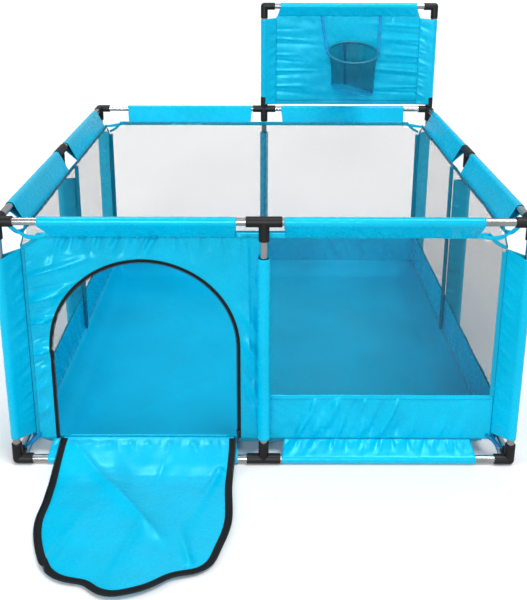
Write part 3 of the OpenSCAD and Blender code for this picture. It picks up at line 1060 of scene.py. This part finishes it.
def build_floor():
    """A plain pale floor."""
    bm = bmesh.new()
    bmesh.ops.create_grid(bm, x_segments=8, y_segments=8, size=30)
    bmesh.ops.translate(bm, vec=(0, 0, -0.0006), verts=bm.verts)
    mesh = bpy.data.meshes.new("floor")
    bm.to_mesh(mesh)
    bm.free()
    floor = bpy.data.objects.new("floor", mesh)
    bpy.context.scene.collection.objects.link(floor)
    s = Shader("floor_paint")
    cloud = s.noise("Object", 1.5, 2.0)
    s.give(Base_Color=s.shades(cloud, (0.90, 0.90, 0.90), (0.92, 0.92, 0.92)),
           Roughness=s.range(cloud, 0.6, 0.7))
    mesh.materials.append(s.material)
    floor.visible_glossy = False


def build_world():
    """A pale studio: softer as a light than as what the camera sees."""
    world = bpy.data.worlds.new("studio")
    world.use_nodes = True
    tree = world.node_tree
    back = tree.nodes["Background"]
    back.inputs["Color"].default_value = (0.97, 0.985, 1.0, 1)
    path = tree.nodes.new("ShaderNodeLightPath")
    strength = tree.nodes.new("ShaderNodeMapRange")
    strength.inputs["To Min"].default_value = 0.50
    strength.inputs["To Max"].default_value = 0.98
    tree.links.new(path.outputs["Is Camera Ray"], strength.inputs["Value"])
    tree.links.new(strength.outputs[0], back.inputs["Strength"])
    bpy.context.scene.world = world


# Name, where it shines from, power, softness in degrees, and whether it gives shading, gloss or both
SUNS = (
    ("top", (0.9, -0.7, 3.0), 1.75, 26, True, True),
    ("front", (-0.3, -2.4, 0.9), 1.0, 14, True, True),
    ("back", (-0.5, 2.4, 1.8), 0.35, 26, True, False),
    ("left", (-2.4, -0.8, 1.3), 0.8, 34, True, False),
    ("sheen_low", (-0.3, -2.4, 0.20), 0.6, 10, False, True),
    ("sheen_high", (-0.6, 1.0, 2.6), 0.5, 9, False, True))


def build_stage():
    """Floor, lights and camera."""
    scene = bpy.context.scene
    scene.view_settings.view_transform = "Standard"
    build_world()
    build_floor()
    for name, toward, power, soft, shading, gloss in SUNS:
        lamp = bpy.data.lights.new(name, "SUN")
        lamp.energy = power
        lamp.angle = math.radians(soft)
        holder = bpy.data.objects.new(name, lamp)
        scene.collection.objects.link(holder)
        holder.location = toward
        holder.visible_diffuse = shading
        holder.visible_glossy = gloss
        holder.rotation_euler = (-Vector(toward)).to_track_quat("-Z", "Y").to_euler()
    lens = bpy.data.cameras.new("camera")
    lens.lens = 48.83
    lens.sensor_width = 36
    lens.shift_y = -0.22
    lens.dof.use_dof = False
    camera = bpy.data.objects.new("camera", lens)
    scene.collection.objects.link(camera)
    camera.location = (-0.001, -2.4155, 1.3087)
    camera.rotation_euler = (math.radians(90 - 16.29), math.radians(-0.11), math.radians(0.05))
    scene.camera = camera


# ---- operators ----

def run(build):
    build()
    return {"FINISHED"}


class PLAYPEN_OT_frame(bpy.types.Operator):
    """Finish the tubes, connectors, zip slider and hoop rim"""
    bl_idname = "playpen.frame"
    bl_label = "Frame finishes"

    def execute(self, context):
        return run(finish_frame)


class PLAYPEN_OT_mat(bpy.types.Operator):
    """Make the floor mat"""
    bl_idname = "playpen.mat"
    bl_label = "Floor mat"

    def execute(self, context):
        return run(build_mat)


class PLAYPEN_OT_door_panel(bpy.types.Operator):
    """Make the front panel with the door opening"""
    bl_idname = "playpen.door_panel"
    bl_label = "Door panel"

    def execute(self, context):
        return run(build_door_panel)


class PLAYPEN_OT_net_walls(bpy.types.Operator):
    """Make the net windows and the solid bands under them"""
    bl_idname = "playpen.net_walls"
    bl_label = "Net walls"

    def execute(self, context):
        return run(build_net_walls)


class PLAYPEN_OT_rail_sleeves(bpy.types.Operator):
    """Make the sleeves round the rails"""
    bl_idname = "playpen.rail_sleeves"
    bl_label = "Rail sleeves"

    def execute(self, context):
        return run(build_rail_sleeves)


class PLAYPEN_OT_post_sleeves(bpy.types.Operator):
    """Make the sleeves round the posts"""
    bl_idname = "playpen.post_sleeves"
    bl_label = "Post sleeves"

    def execute(self, context):
        return run(build_post_sleeves)


class PLAYPEN_OT_ties(bpy.types.Operator):
    """Make the tie straps at the corners"""
    bl_idname = "playpen.ties"
    bl_label = "Corner ties"

    def execute(self, context):
        return run(build_ties)


class PLAYPEN_OT_flap(bpy.types.Operator):
    """Make the door flap with its half of the zip"""
    bl_idname = "playpen.flap"
    bl_label = "Door flap"

    def execute(self, context):
        return run(build_flap)


class PLAYPEN_OT_zip(bpy.types.Operator):
    """Make the zip round the door opening"""
    bl_idname = "playpen.zip"
    bl_label = "Door zip"

    def execute(self, context):
        return run(build_zip)


class PLAYPEN_OT_board(bpy.types.Operator):
    """Make the cloth board that carries the hoop"""
    bl_idname = "playpen.board"
    bl_label = "Hoop board"

    def execute(self, context):
        return run(build_board)


class PLAYPEN_OT_basket(bpy.types.Operator):
    """Make the hoop's net, its bottom and its straps"""
    bl_idname = "playpen.basket"
    bl_label = "Hoop net and straps"

    def execute(self, context):
        return run(build_basket)


class PLAYPEN_OT_stage(bpy.types.Operator):
    """Make the floor, the lights and the camera"""
    bl_idname = "playpen.stage"
    bl_label = "Stage"

    def execute(self, context):
        return run(build_stage)


PIECES = (
    PLAYPEN_OT_frame, PLAYPEN_OT_mat, PLAYPEN_OT_door_panel, PLAYPEN_OT_net_walls, PLAYPEN_OT_rail_sleeves,
    PLAYPEN_OT_post_sleeves, PLAYPEN_OT_ties, PLAYPEN_OT_flap, PLAYPEN_OT_zip, PLAYPEN_OT_board,
    PLAYPEN_OT_basket, PLAYPEN_OT_stage)


class PLAYPEN_PT_panel(bpy.types.Panel):
    """Sizes, colours and pieces of the playpen"""
    bl_idname = "PLAYPEN_PT_panel"
    bl_label = "Playpen"
    bl_space_type = "VIEW_3D"
    bl_region_type = "UI"
    bl_category = "Playpen"

    def draw(self, context):
        for group in (context.scene.playpen_sizes, context.scene.playpen_colours):
            for name in group.bl_rna.properties.keys():
                if name not in ("rna_type", "name"):
                    self.layout.prop(group, name)
        for piece in PIECES:
            self.layout.operator(piece.bl_idname)


CLASSES = (PlaypenSizes, PlaypenColours, *PIECES, PLAYPEN_PT_panel)


def register():
    for kind in CLASSES:
        bpy.utils.register_class(kind)
    bpy.types.Scene.playpen_sizes = PointerProperty(type=PlaypenSizes)
    bpy.types.Scene.playpen_colours = PointerProperty(type=PlaypenColours)


def unregister():
    del bpy.types.Scene.playpen_colours
    del bpy.types.Scene.playpen_sizes
    for kind in reversed(CLASSES):
        bpy.utils.unregister_class(kind)


def main():
    register()
    for piece in PIECES:
        name = piece.bl_idname.split(".")[1]
        getattr(bpy.ops.playpen, name)()
    bpy.context.view_layer.update()


if __name__ == "__main__":
    main()
